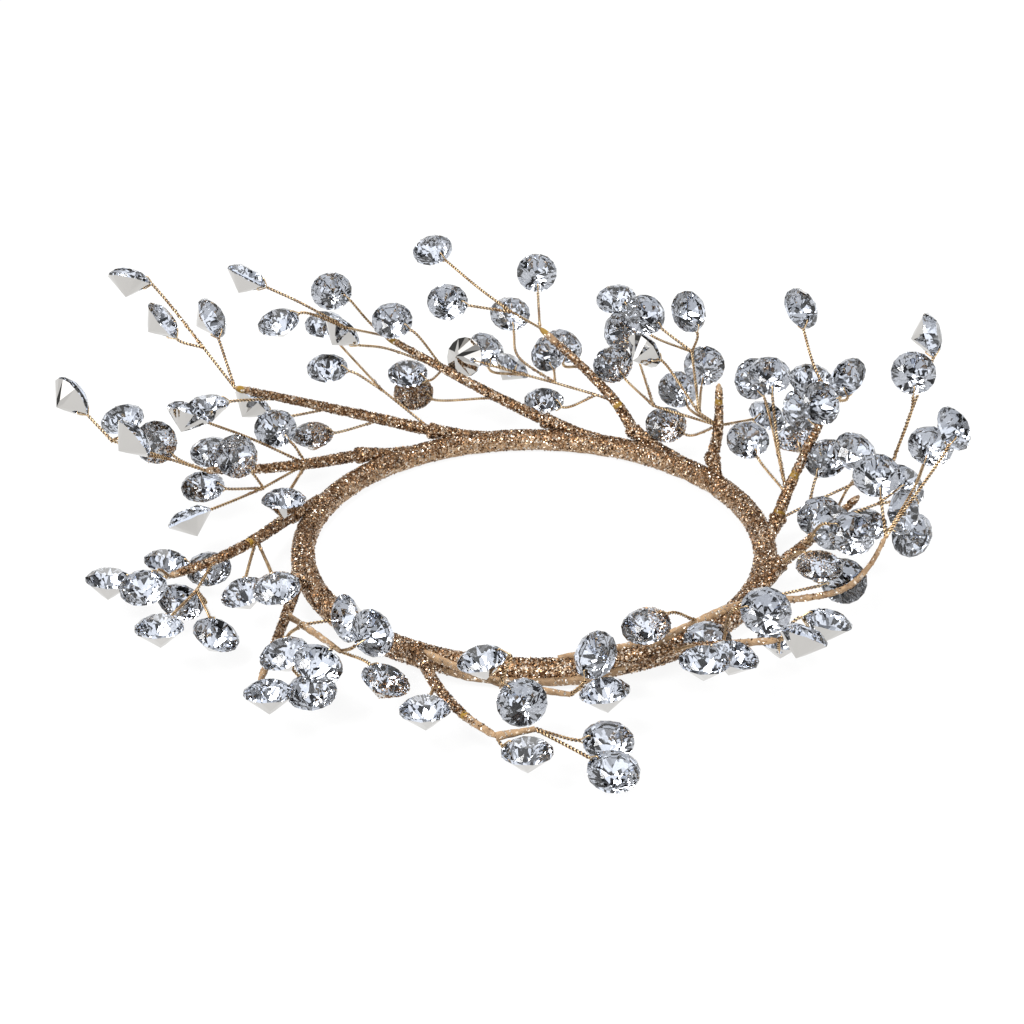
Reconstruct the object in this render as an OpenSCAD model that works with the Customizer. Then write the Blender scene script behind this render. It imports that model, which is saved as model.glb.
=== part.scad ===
// Candle ring: a taped and glittered wire hoop that lies flat on the table, with twelve
// sprigs bound on round it. Each sprig is a tapering stem that swirls away from the hoop,
// thin twisted wires that fork from the stem, and round faceted gems hooked on the wires.
// Millimetres, +Z up. The origin is the middle of the opening, on the table.

/* [Hoop] */
// Diameter of the opening that the candle stands in
opening_d = 114; // [106:1:126]
// Thickness of the hoop over its tape and glitter
hoop_d = 6; // [5.6:0.2:6.4]
// Thickness of the wire inside the hoop
core_d = 2.4; // [1.6:0.2:2.8]
// How deep the flat under the hoop is pressed in
land = 0.2; // [0.1:0.05:0.3]

/* [Bindings] */
// Thickness of the tape that binds each sprig on
tape = 0.6; // [0.4:0.1:0.7]
// Half the angle of the hoop that each binding covers
tape_angle = 3; // [2:0.5:3.5]
// Wall of the knuckle that holds the root of a stem
knuckle_wall = 0.7; // [0.5:0.1:0.8]
// Clearance all round the root of a stem
root_gap = 0.3; // [0.25:0.05:0.4]

/* [Stems] */
// Diameter of a stem just past its root
stem_root_d = 3.2; // [2.8:0.1:3.4]
// Diameter of a stem at its tip
stem_tip_d = 1.8; // [1.4:0.1:2.2]
// Diameter of the rounded root
root_d = 4; // [3.8:0.1:4.2]

/* [Wires] */
// Diameter of a twisted wire
wire_d = 0.9; // [0.8:0.1:1.1]
// Diameter of a wire that carries other wires
branch_d = 1.1; // [1:0.1:1.3]
// Thickness of the loop that passes through a gem
loop_t = 0.4; // [0.3:0.05:0.5]
// Space between the end of a wire and the stem that it leaves
wire_gap = 0.2; // [0.1:0.05:0.3]

/* [Gems] */
// Diameter of a gem across its girdle
gem_d = 11.5; // [10.5:0.25:12]
// Diameter of the flat table of a gem
table_d = 6.4; // [5.8:0.1:7]
// Height of the crown above the girdle
crown_h = 1.9; // [1.6:0.1:2.2]
// Depth of the point below the girdle
point_h = 4.6; // [4.2:0.1:5]
// Thickness of the girdle
girdle_t = 0.9; // [0.8:0.1:1]
// Diameter of the hole near the rim
hole_d = 1.5; // [1.4:0.1:1.7]
// Distance from the rim to the middle of the hole
hole_in = 1.85; // [1.7:0.05:2.1]

/* [Hidden] */
$fn = 48;

wall_flat = 0.35;                        // flat pressed into the inner side of the hoop
hoop_r = opening_d / 2 + hoop_d / 2 - wall_flat;   // middle of the hoop's section
hoop_z = hoop_d / 2 - land;              // height of the section's middle
fit = 0.05;                              // the wire in its wrap, the tape on the hoop
root_at = 4;                             // a root sits this far out and this far up
socket_r = root_d / 2 + root_gap;

glitter = [0.72, 0.56, 0.42];
bare_tape = [0.69, 0.55, 0.47];
copper_wire = [0.79, 0.63, 0.42];
steel_wire = [0.55, 0.52, 0.48];
clear_gem = [0.74, 0.78, 0.84];

// Each sprig is [place, stem, forks, gems]. The place is its angle round the hoop. Points
// are [along the hoop, outward, up] from the middle of the hoop's section at that angle.
// Point 0 is the root and the stem's points count on from 1, then the forks count on.
// A fork is [from, point]. A gem is [from, centre, [heading, rise] of its table, bend]:
// the heading turns from along to outward, and the bend in its wire can be left out.
sprig_01 = [116,
  [[13, 11, 8], [29, 9, 15], [42, 7, 22], [57, 5, 29]],
  [[4, [62, 14, 38]], [0, [12, 12, 16]]],
  [[5, [74, 38, 51], [135, 55], [65, 30, 44]], [5, [70, 23, 44], [190, 35]],
   [4, [57, 21, 43], [210, 30]], [2, [48, 18, 17], [160, 35]], [3, [64, 8, 24], [95, 75]],
   [1, [33, 13, 6], [-65, 85]], [6, [25, 20, 22], [-65, 75]], [6, [13, 53, 20], [-65, 75]]]];
sprig_02 = [86,
  [[14, 4, 10], [28, 7, 17], [47, 11, 26]],
  [[3, [56, 0, 33]]],
  [[3, [61, 7, 41], [265, 50], [51, 9, 31]], [4, [83, -1, 48], [140, 55], [68, -4, 42]],
   [4, [73, -11, 39], [-50, 75]], [2, [44, 6, 33], [265, 55]],
   [2, [59, 11, 27], [130, 35], [46, 15, 20]], [2, [41, 14, 13], [265, 75]],
   [1, [40, 18, 5], [265, 60]]]];
sprig_03 = [63,
  [[0, 4, 11], [18, 6, 20], [31, 6, 29]],
  [[3, [36, -2, 36]], [1, [12, 4, 13]], [5, [24, 2, 15]], [6, [33, 1, 16]]],
  [[3, [37, 16, 41], [240, 45]], [4, [67, 9, 45], [270, 65], [48, 1, 40]],
   [4, [53, -8, 38], [240, 55]], [6, [42, 9, 30], [240, 60], [34, -1, 22]],
   [7, [52, 0, 18], [95, -25]], [7, [55, 19, 12], [200, 50]], [7, [45, 16, 10], [135, 55]],
   [5, [30, 7, 6], [240, 85]], [6, [30, 10, 20], [285, 40]], [2, [32, 24, 16], [205, 55]]]];
sprig_04 = [39,
  [[-4, 5, 12], [1, 6, 26]],
  [[1, [3, 1, 18]], [1, [20, 0, 14]], [3, [16, 10, 29]]],
  [[5, [50, 12, 33], [240, 70], [35, 12, 27]], [5, [28, 3, 38], [200, 40]],
   [4, [51, 15, 22], [260, 25]], [3, [30, 5, 26], [85, 20]], [4, [43, 5, 17], [240, 50]],
   [5, [17, 9, 41], [180, 30]], [3, [15, 14, 24], [220, 45]], [1, [25, 14, 13], [220, 55]],
   [1, [18, 3, 8], [220, 60]], [1, [1, 26, 10], [155, 65]]]];
sprig_05 = [5,
  [[1, 5, 9], [3, 9, 18], [16, 20, 30]],
  [[0, [-1, 12, 9]], [4, [-3, 32, 20]]],
  [[3, [36, 15, 48], [135, 40], [21, 16, 38]], [1, [33, 7, 30], [185, 55], [19, 7, 18]],
   [1, [44, 5, 24], [225, 25]], [3, [28, 17, 31], [185, 75]], [3, [28, 27, 31], [250, 40]],
   [2, [35, 17, 19], [220, 25]], [3, [7, 15, 34], [150, 35]], [2, [35, 16, 10], [265, 75]],
   [1, [23, 0, 16], [185, 60]], [4, [5, 17, 19], [220, 55]],
   [5, [2, 37, 44], [185, 45], [-2, 36, 34]], [5, [14, 44, 49], [110, 20], [6, 40, 36]]]];
sprig_06 = [344,
  [[5, 9, 6], [13, 15, 12], [16, 21, 18]],
  [[2, [15, 26, 17]]],
  [[2, [26, 18, 25], [135, 55], [24, 17, 15]], [1, [19, 11, 9], [200, 55]],
   [2, [16, 23, 10], [165, 75]], [4, [22, 32, 20], [100, 50]], [4, [7, 33, 20], [115, 20]],
   [1, [5, 16, 14], [205, 25]], [0, [-15, 16, 14], [165, 85]], [1, [-4, 22, 18], [165, 55]]]];
sprig_07 = [327,
  [[5, 19, 6], [6, 27, 10], [8, 30, 16], [13, 31, 24]],
  [],
  [[4, [21, 24, 35], [155, 55]], [4, [41, 27, 10], [125, 15]],
   [4, [50, 26, 31], [145, 60], [28, 31, 30]], [4, [43, 34, 41], [90, 40]],
   [0, [14, 21, 8], [145, 45]]]];
sprig_08 = [293,
  [[3, 7, 6], [15, 13, 8], [28, 18, 9]],
  [[0, [12, 7, 12]]],
  [[4, [-2, 9, 15], [155, 75]], [1, [16, 6, 5], [115, 75]], [1, [2, 30, 17], [-65, 85]],
   [2, [13, 24, 12], [-5, 75]], [2, [18, 28, 25], [115, 55]], [3, [33, 11, 4], [-65, 80]],
   [3, [39, 21, 13], [-35, 70]], [3, [27, 30, 17], [-35, 50]]]];
sprig_09 = [244,
  [[10, 18, 5], [24, 28, 6], [34, 31, 7]],
  [[0, [25, 11, 6]], [4, [40, 5, 4]], [3, [41, 26, 8]]],
  [[4, [21, 12, 12], [190, 75]], [4, [34, 18, 8], [80, 55]], [1, [16, 30, 8], [235, 80]],
   [3, [42, 32, 6], [235, 80]], [6, [55, 18, 4], [55, 75]], [6, [61, 29, 5], [55, 75]],
   [5, [42, -4, 10], [115, 40]], [5, [50, 9, 10], [205, 75]]]];
sprig_10 = [203,
  [[19, 13, 6], [33, 21, 7], [43, 27, 6]],
  [[1, [25, 11, 7]], [4, [38, 6, 6]]],
  [[4, [31, 2, 10], [80, 10]], [5, [44, 0, 13], [-30, 40]], [4, [43, 21, 12], [105, 75]],
   [5, [53, 16, 14], [-40, 65]], [3, [54, 28, 10], [205, 75]], [2, [50, 17, 5], [25, 80]],
   [5, [55, 1, 7], [-80, 70]]]];
sprig_11 = [172,
  [[22, 8, 7], [34, 15, 8], [42, 25, 8]],
  [[2, [46, 17, 7]]],
  [[1, [29, 19, 3], [-10, 75]], [2, [34, 28, 7], [220, 75]], [3, [46, 39, 8], [195, 75]],
   [3, [53, 28, 11], [-10, 75]], [4, [47, 21, 4], [285, 65]], [4, [70, 19, 11], [170, 80]],
   [4, [62, 8, 5], [265, 65]], [1, [47, 5, 8], [75, 75]], [1, [57, -6, 16], [35, 80]]]];
sprig_12 = [138,
  [[22, 5, 8], [35, 9, 11], [47, 14, 14]],
  [[3, [55, 18, 19]], [4, [69, 23, 28]], [1, [36, 4, 8]]],
  [[1, [51, 14, 32], [170, 50], [33, 11, 19]], [6, [41, 8, 18], [285, 25]],
   [2, [34, 27, 10], [-40, 75]], [1, [22, 14, 17], [-40, 55]], [3, [50, 30, 18], [-70, 25]],
   [4, [68, 15, 31], [190, 25]], [5, [57, 34, 26], [0, 75]], [5, [72, 34, 38], [180, 15]],
   [6, [45, 18, 7], [-40, 75]], [6, [62, 3, 10], [95, 55], [46, 3, 9]],
   [1, [43, -12, 13], [140, 80]]]];

// Size of the gem where the hole is
gem_r = gem_d / 2;
table_r = table_d / 2;
hole_r_at = gem_r - hole_in;
scallop = point_h * (1 / cos(22.5) - 1);
slope_up = crown_h / (gem_r - table_r);
slope_down = point_h / gem_r;
loop_top = girdle_t / 2 + hole_in * slope_up + loop_t + 0.15;
loop_low = girdle_t / 2 + hole_in * slope_down + loop_t + 0.15;
loop_out = gem_r + 1.4;

function unit(v) = v / norm(v);
function across(v, n) = v - n * (v * n);
function local(p) = [p[1], p[0], p[2]];
function heading(a) = [cos(a[1]) * sin(a[0]), cos(a[1]) * cos(a[0]), sin(a[1])];
function stem_points(s) = concat([[0, root_at, root_at]], s[1]);
function points(s) = concat(stem_points(s), [for (f = s[2]) f[1]]);
function stem_r(s, i) =
  stem_root_d / 2 + (stem_tip_d - stem_root_d) / 2 * i / len(s[1]);
function is_stem(s, i) = i <= len(s[1]);
// Direction of the stem at one of its points
function stem_way(s, i) = let (q = stem_points(s), n = len(s[1]))
  unit(local(q[min(i + 1, n)]) - local(q[max(i - 1, 0)]));
// Start of a wire that leaves point i for p: beside the stem, or at the fork itself
function start(s, i, p, r) = let (a = local(points(s)[i]))
  !is_stem(s, i) ? a :
  let (
    w = stem_way(s, i),
    side = unit(across(p - a, w)),
    room = (i == 0 ? socket_r + knuckle_wall + root_gap : stem_r(s, i) * 1.1 + wire_gap)
  ) a + side * (room + r);

// Placed in the frame of a sprig: x outward, y along the hoop, z up
module at_sprig(s) {
  rotate([0, 0, s[0]])
    translate([hoop_r, 0, hoop_z])
      children();
}

module rod(a, b, ra, rb) {
  v = b - a;
  translate(a)
    rotate([0, acos(v[2] / norm(v)), atan2(v[1], v[0])])
      cylinder(h = norm(v), r1 = ra, r2 = rb);
}

module hoop_ring(r, half_angle = 180, at = 0) {
  rotate([0, 0, at - half_angle])
    rotate_extrude(angle = 2 * half_angle, $fn = 96)
      translate([hoop_r, 0])
        circle(r = r, $fn = 32);
}

module hoop_wire() {
  color(steel_wire)
    translate([0, 0, hoop_z])
      rotate_extrude($fn = 96)
        translate([hoop_r, 0])
          circle(d = core_d, $fn = 32);
}

// The wrap has a narrow flat below, where it lies on the table, and one inside
module hoop_wrap() {
  color(glitter)
    rotate_extrude($fn = 96)
      difference() {
        intersection() {
          translate([hoop_r, hoop_z])
            circle(d = hoop_d, $fn = 32);
          translate([opening_d / 2, 0])
            square([hoop_d + 1, hoop_d + 1]);
        }
        translate([hoop_r, hoop_z])
          circle(d = core_d + 2 * fit, $fn = 32);
      }
}

// Turns of tape round the hoop with a knuckle that the root of the stem turns in
module binding(s) {
  root = [root_at, 0, root_at];
  way = unit(local(s[1][0]) - root);
  ball = socket_r + knuckle_wall;
  color(bare_tape)
    difference() {
      union() {
        translate([0, 0, hoop_z])
          hoop_ring(hoop_d / 2 + tape, tape_angle, s[0]);
        at_sprig(s)
          translate(root)
            sphere(r = ball);
      }
      translate([0, 0, hoop_z])
        hoop_ring(hoop_d / 2 + fit, tape_angle + 3, s[0]);
      at_sprig(s)
        translate(root)
          sphere(r = socket_r);
      at_sprig(s)
        rod(root + way * 0.7, root + way * (ball + 2), ball + 1, ball + 1);
      // Clear of the opening, and flush with the flat under the hoop
      translate([0, 0, -hoop_d])
        cylinder(h = 3 * hoop_d, d = opening_d + 2 * tape, $fn = 96);
      translate([0, 0, -hoop_d])
        cylinder(h = hoop_d + hoop_z, r = hoop_r, $fn = 96);
      translate([-opening_d, -opening_d, -hoop_d])
        cube([2 * opening_d, 2 * opening_d, hoop_d]);
    }
}

module stem(s) {
  q = stem_points(s);
  n = len(s[1]);
  color(glitter)
    at_sprig(s)
      union() {
        translate(local(q[0]))
          sphere(d = root_d);
        for (i = [0 : n - 1])
          rod(local(q[i]), local(q[i + 1]), stem_r(s, i), stem_r(s, i + 1));
        for (i = [1 : n])
          translate(local(q[i]))
            sphere(r = stem_r(s, i) * 1.06);
      }
}

// Frame of a gem: its table faces up, and its hole lies toward +x
module at_gem(s, g) {
  c = local(g[1]);
  n = heading(g[2]);
  last = len(g) > 3 ? local(g[3]) : local(points(s)[g[0]]);
  x = unit(across(last - c, n));
  y = cross(n, x);
  at_sprig(s)
    multmatrix([
      [x[0], y[0], n[0], c[0]],
      [x[1], y[1], n[1], c[1]],
      [x[2], y[2], n[2], c[2]],
      [0, 0, 0, 1]
    ])
      children();
}

// End of a gem's wire, where the loop closes outside the rim
function loop_end(s, g) =
  let (
    c = local(g[1]),
    n = heading(g[2]),
    last = len(g) > 3 ? local(g[3]) : local(points(s)[g[0]])
  ) c + unit(across(last - c, n)) * (loop_out - 0.3);

module loop() {
  a = [[hole_r_at - loop_t / 2, loop_top], [hole_r_at - loop_t / 2, -loop_low],
       [loop_out + loop_t / 2, 0]];
  b = [[hole_r_at + loop_t / 2, loop_top - 1.3 * loop_t],
       [hole_r_at + loop_t / 2, -loop_low + 1.3 * loop_t],
       [loop_out - 1.1 * loop_t, 0]];
  rotate([90, 0, 0])
    translate([0, 0, -loop_t / 2])
      linear_extrude(loop_t)
        polygon(concat(a, b), [[0, 1, 2], [3, 4, 5]]);
}

module wires(s) {
  color(copper_wire)
    union() {
      for (f = s[2])
        at_sprig(s) {
          rod(start(s, f[0], local(f[1]), branch_d / 2), local(f[1]), branch_d / 2,
              branch_d / 2);
          translate(local(f[1]))
            sphere(r = branch_d * 0.6);
        }
      for (g = s[3]) {
        tip = loop_end(s, g);
        bend = len(g) > 3 ? local(g[3]) : tip;
        at_sprig(s)
          rod(start(s, g[0], bend, wire_d / 2), bend, wire_d / 2, wire_d / 2);
        if (len(g) > 3)
          at_sprig(s) {
            translate(bend)
              sphere(r = wire_d * 0.55);
            rod(bend, tip, wire_d / 2, wire_d / 2);
          }
        at_gem(s, g)
          loop();
      }
    }
}

// Round brilliant cut: table, crown, scalloped girdle and eight facets to the point
module cut_gem() {
  up = girdle_t / 2;
  points = concat(
    [for (i = [0 : 7]) [table_r * cos(45 * i), table_r * sin(45 * i), up + crown_h]],
    [for (i = [0 : 15]) [gem_r * cos(22.5 * i), gem_r * sin(22.5 * i), up]],
    [for (i = [0 : 15]) [gem_r * cos(22.5 * i), gem_r * sin(22.5 * i),
                         (i % 2 == 0) ? -up : scallop - up]],
    [[0, 0, -up - point_h]]
  );
  faces = concat(
    [[for (i = [7 : -1 : 0]) i]],
    [for (i = [0 : 7]) [i, (i + 1) % 8, 9 + 2 * i]],
    [for (i = [0 : 7]) [i, 9 + 2 * i, 8 + 2 * i]],
    [for (i = [0 : 7]) [(i + 1) % 8, 8 + (2 * i + 2) % 16, 9 + 2 * i]],
    [for (i = [0 : 15]) [8 + i, 8 + (i + 1) % 16, 24 + (i + 1) % 16]],
    [for (i = [0 : 15]) [8 + i, 24 + (i + 1) % 16, 24 + i]],
    [for (i = [0 : 15]) [24 + i, 24 + (i + 1) % 16, 40]]
  );
  polyhedron(points, faces);
}

module gem() {
  difference() {
    cut_gem();
    translate([hole_r_at, 0, -gem_r])
      cylinder(h = 2 * gem_r, d = hole_d, $fn = 24);
  }
}

module gems(s) {
  color(clear_gem)
    for (g = s[3])
      at_gem(s, g)
        gem();
}

hoop_wire();
hoop_wrap();
binding(sprig_01);  // binding_01
binding(sprig_02);  // binding_02
binding(sprig_03);  // binding_03
binding(sprig_04);  // binding_04
binding(sprig_05);  // binding_05
binding(sprig_06);  // binding_06
binding(sprig_07);  // binding_07
binding(sprig_08);  // binding_08
binding(sprig_09);  // binding_09
binding(sprig_10);  // binding_10
binding(sprig_11);  // binding_11
binding(sprig_12);  // binding_12
stem(sprig_01);  // stem_01
stem(sprig_02);  // stem_02
stem(sprig_03);  // stem_03
stem(sprig_04);  // stem_04
stem(sprig_05);  // stem_05
stem(sprig_06);  // stem_06
stem(sprig_07);  // stem_07
stem(sprig_08);  // stem_08
stem(sprig_09);  // stem_09
stem(sprig_10);  // stem_10
stem(sprig_11);  // stem_11
stem(sprig_12);  // stem_12
wires(sprig_01);  // wires_01
wires(sprig_02);  // wires_02
wires(sprig_03);  // wires_03
wires(sprig_04);  // wires_04
wires(sprig_05);  // wires_05
wires(sprig_06);  // wires_06
wires(sprig_07);  // wires_07
wires(sprig_08);  // wires_08
wires(sprig_09);  // wires_09
wires(sprig_10);  // wires_10
wires(sprig_11);  // wires_11
wires(sprig_12);  // wires_12
gems(sprig_01);  // gems_01
gems(sprig_02);  // gems_02
gems(sprig_03);  // gems_03
gems(sprig_04);  // gems_04
gems(sprig_05);  // gems_05
gems(sprig_06);  // gems_06
gems(sprig_07);  // gems_07
gems(sprig_08);  // gems_08
gems(sprig_09);  // gems_09
gems(sprig_10);  // gems_10
gems(sprig_11);  // gems_11
gems(sprig_12);  // gems_12
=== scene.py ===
# %% [markdown]
# A candle ring lies flat round a pillar candle. Its hoop is a wire wound with paper tape and rolled in
# coarse champagne glitter. Twelve stems, wrapped the same way, swirl off it, and thin wires of two twisted
# strands carry clear cut stones with mirrored backs. The CAD model gives every size and place, and this
# lesson dresses it.

# %% Load the frame
import bpy
import numpy as np
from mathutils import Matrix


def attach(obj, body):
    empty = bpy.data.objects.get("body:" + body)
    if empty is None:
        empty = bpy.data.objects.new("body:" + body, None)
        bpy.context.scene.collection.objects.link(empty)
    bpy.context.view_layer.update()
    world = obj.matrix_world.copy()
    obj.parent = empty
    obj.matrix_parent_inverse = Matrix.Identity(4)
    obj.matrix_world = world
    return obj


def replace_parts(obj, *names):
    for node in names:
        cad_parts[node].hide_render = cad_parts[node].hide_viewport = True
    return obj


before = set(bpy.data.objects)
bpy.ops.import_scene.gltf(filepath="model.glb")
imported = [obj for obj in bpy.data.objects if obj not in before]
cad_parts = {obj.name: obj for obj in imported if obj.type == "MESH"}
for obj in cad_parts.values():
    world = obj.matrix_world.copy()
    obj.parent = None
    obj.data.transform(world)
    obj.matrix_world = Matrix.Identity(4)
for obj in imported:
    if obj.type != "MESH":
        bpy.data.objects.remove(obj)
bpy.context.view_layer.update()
MM = 0.001

# %% [markdown]
# The part's own numbers place everything. Each sprig has an angle round the hoop, the points of its stem,
# its forks and its gems, in millimetres along the hoop, outward and up. They are repeated here so that the
# detailed pieces lie exactly where the plain solids do. A fork is (from, end), and a gem is (from, centre,
# (heading, rise) of its table, bend in its wire), where from counts the root, the points of the stem and
# then the forks.

# %% Sizes of the real object, in millimetres
OPENING_D, HOOP_D, WALL_FLAT, LAND = 114.0, 6.0, 0.35, 0.2
HOOP_R = OPENING_D / 2 + HOOP_D / 2 - WALL_FLAT
HOOP_Z = HOOP_D / 2 - LAND
ROOT_AT, STEM_ROOT_D, STEM_TIP_D = 4.0, 3.2, 1.8
GEM_D, TABLE_D, CROWN_H, POINT_H, GIRDLE_T = 11.5, 6.4, 1.9, 4.6, 0.9
HOLE_D, HOLE_IN = 1.5, 1.85
SPRIGS = {
    "01": (116, [(13, 11, 8), (29, 9, 15), (42, 7, 22), (57, 5, 29)],
           [(4, (62, 14, 38)), (0, (12, 12, 16))],
           [(5, (74, 38, 51), (135, 55), (65, 30, 44)), (5, (70, 23, 44), (190, 35)),
            (4, (57, 21, 43), (210, 30)), (2, (48, 18, 17), (160, 35)), (3, (64, 8, 24), (95, 75)),
            (1, (33, 13, 6), (-65, 85)), (6, (25, 20, 22), (-65, 75)), (6, (13, 53, 20), (-65, 75))]),
    "02": (86, [(14, 4, 10), (28, 7, 17), (47, 11, 26)],
           [(3, (56, 0, 33))],
           [(3, (61, 7, 41), (265, 50), (51, 9, 31)), (4, (83, -1, 48), (140, 55), (68, -4, 42)),
            (4, (73, -11, 39), (-50, 75)), (2, (44, 6, 33), (265, 55)),
            (2, (59, 11, 27), (130, 35), (46, 15, 20)), (2, (41, 14, 13), (265, 75)),
            (1, (40, 18, 5), (265, 60))]),
    "03": (63, [(0, 4, 11), (18, 6, 20), (31, 6, 29)],
           [(3, (36, -2, 36)), (1, (12, 4, 13)), (5, (24, 2, 15)), (6, (33, 1, 16))],
           [(3, (37, 16, 41), (240, 45)), (4, (67, 9, 45), (270, 65), (48, 1, 40)),
            (4, (53, -8, 38), (240, 55)), (6, (42, 9, 30), (240, 60), (34, -1, 22)),
            (7, (52, 0, 18), (95, -25)), (7, (55, 19, 12), (200, 50)), (7, (45, 16, 10), (135, 55)),
            (5, (30, 7, 6), (240, 85)), (6, (30, 10, 20), (285, 40)), (2, (32, 24, 16), (205, 55))]),
    "04": (39, [(-4, 5, 12), (1, 6, 26)],
           [(1, (3, 1, 18)), (1, (20, 0, 14)), (3, (16, 10, 29))],
           [(5, (50, 12, 33), (240, 70), (35, 12, 27)), (5, (28, 3, 38), (200, 40)),
            (4, (51, 15, 22), (260, 25)), (3, (30, 5, 26), (85, 20)), (4, (43, 5, 17), (240, 50)),
            (5, (17, 9, 41), (180, 30)), (3, (15, 14, 24), (220, 45)), (1, (25, 14, 13), (220, 55)),
            (1, (18, 3, 8), (220, 60)), (1, (1, 26, 10), (155, 65))]),
    "05": (5, [(1, 5, 9), (3, 9, 18), (16, 20, 30)],
           [(0, (-1, 12, 9)), (4, (-3, 32, 20))],
           [(3, (36, 15, 48), (135, 40), (21, 16, 38)), (1, (33, 7, 30), (185, 55), (19, 7, 18)),
            (1, (44, 5, 24), (225, 25)), (3, (28, 17, 31), (185, 75)), (3, (28, 27, 31), (250, 40)),
            (2, (35, 17, 19), (220, 25)), (3, (7, 15, 34), (150, 35)), (2, (35, 16, 10), (265, 75)),
            (1, (23, 0, 16), (185, 60)), (4, (5, 17, 19), (220, 55)),
            (5, (2, 37, 44), (185, 45), (-2, 36, 34)), (5, (14, 44, 49), (110, 20), (6, 40, 36))]),
    "06": (344, [(5, 9, 6), (13, 15, 12), (16, 21, 18)],
           [(2, (15, 26, 17))],
           [(2, (26, 18, 25), (135, 55), (24, 17, 15)), (1, (19, 11, 9), (200, 55)),
            (2, (16, 23, 10), (165, 75)), (4, (22, 32, 20), (100, 50)), (4, (7, 33, 20), (115, 20)),
            (1, (5, 16, 14), (205, 25)), (0, (-15, 16, 14), (165, 85)), (1, (-4, 22, 18), (165, 55))]),
    "07": (327, [(5, 19, 6), (6, 27, 10), (8, 30, 16), (13, 31, 24)],
           [],
           [(4, (21, 24, 35), (155, 55)), (4, (41, 27, 10), (125, 15)),
            (4, (50, 26, 31), (145, 60), (28, 31, 30)), (4, (43, 34, 41), (90, 40)),
            (0, (14, 21, 8), (145, 45))]),
    "08": (293, [(3, 7, 6), (15, 13, 8), (28, 18, 9)],
           [(0, (12, 7, 12))],
           [(4, (-2, 9, 15), (155, 75)), (1, (16, 6, 5), (115, 75)), (1, (2, 30, 17), (-65, 85)),
            (2, (13, 24, 12), (-5, 75)), (2, (18, 28, 25), (115, 55)), (3, (33, 11, 4), (-65, 80)),
            (3, (39, 21, 13), (-35, 70)), (3, (27, 30, 17), (-35, 50))]),
    "09": (244, [(10, 18, 5), (24, 28, 6), (34, 31, 7)],
           [(0, (25, 11, 6)), (4, (40, 5, 4)), (3, (41, 26, 8))],
           [(4, (21, 12, 12), (190, 75)), (4, (34, 18, 8), (80, 55)), (1, (16, 30, 8), (235, 80)),
            (3, (42, 32, 6), (235, 80)), (6, (55, 18, 4), (55, 75)), (6, (61, 29, 5), (55, 75)),
            (5, (42, -4, 10), (115, 40)), (5, (50, 9, 10), (205, 75))]),
    "10": (203, [(19, 13, 6), (33, 21, 7), (43, 27, 6)],
           [(1, (25, 11, 7)), (4, (38, 6, 6))],
           [(4, (31, 2, 10), (80, 10)), (5, (44, 0, 13), (-30, 40)), (4, (43, 21, 12), (105, 75)),
            (5, (53, 16, 14), (-40, 65)), (3, (54, 28, 10), (205, 75)), (2, (50, 17, 5), (25, 80)),
            (5, (55, 1, 7), (-80, 70))]),
    "11": (172, [(22, 8, 7), (34, 15, 8), (42, 25, 8)],
           [(2, (46, 17, 7))],
           [(1, (29, 19, 3), (-10, 75)), (2, (34, 28, 7), (220, 75)), (3, (46, 39, 8), (195, 75)),
            (3, (53, 28, 11), (-10, 75)), (4, (47, 21, 4), (285, 65)), (4, (70, 19, 11), (170, 80)),
            (4, (62, 8, 5), (265, 65)), (1, (47, 5, 8), (75, 75)), (1, (57, -6, 16), (35, 80))]),
    "12": (138, [(22, 5, 8), (35, 9, 11), (47, 14, 14)],
           [(3, (55, 18, 19)), (4, (69, 23, 28)), (1, (36, 4, 8))],
           [(1, (51, 14, 32), (170, 50), (33, 11, 19)), (6, (41, 8, 18), (285, 25)),
            (2, (34, 27, 10), (-40, 75)), (1, (22, 14, 17), (-40, 55)), (3, (50, 30, 18), (-70, 25)),
            (4, (68, 15, 31), (190, 25)), (5, (57, 34, 26), (0, 75)), (5, (72, 34, 38), (180, 15)),
            (6, (45, 18, 7), (-40, 75)), (6, (62, 3, 10), (95, 55), (46, 3, 9)),
            (1, (43, -12, 13), (140, 80))]),
}
print("sprigs", len(SPRIGS), "gems", sum(len(s[3]) for s in SPRIGS.values()))

# %% [markdown]
# Everything on this object is a tube along a path, a cut stone or a crumb of glitter. A tube is a grid of
# two parameters: how far along the path, and the angle round it. The grid of points is one numpy array, so
# there is no loop over points.

# %% Vectors and paths
TURN = 2 * np.pi


def unit(v):
    """Each vector divided by its length."""
    v = np.asarray(v, float)
    return v / np.linalg.norm(v, axis=-1, keepdims=True)


def across(v, n):
    """The part of v square to n: v less its shadow on n."""
    return v - n * np.sum(v * n, axis=-1, keepdims=True)


def smooth_path(points, step):
    """A curve through the points. Between two of them it is the cubic whose slope at each end is half the
    way between the neighbours on both sides."""
    p = np.asarray(points, float)
    p = np.vstack([2 * p[0] - p[1], p, 2 * p[-1] - p[-2]])
    count = len(p) - 3
    length = np.linalg.norm(np.diff(p[1:-1], axis=0), axis=1).sum()
    u = np.linspace(0, count, max(3, int(length / step) + 1))
    k = np.minimum(u.astype(int), count - 1)
    t = (u - k)[:, None]
    a, b, c, d = p[k], p[k + 1], p[k + 2], p[k + 3]
    return 0.5 * (2 * b + (c - a) * t + (2 * a - 5 * b + 4 * c - d) * t**2 + (3 * b - a - 3 * c + d) * t**3)


def path_frame(path, side=None):
    """For every point of a path its direction and two directions square to it. The first of these is
    square to `side` too, or without it to the axis that the path runs least along."""
    way = unit(np.gradient(path, axis=0))
    if side is None:
        side = np.eye(3)[np.argmin(np.abs(way).max(axis=0))]
    first = unit(np.cross(way, side))
    return way, first, np.cross(way, first)


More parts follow.
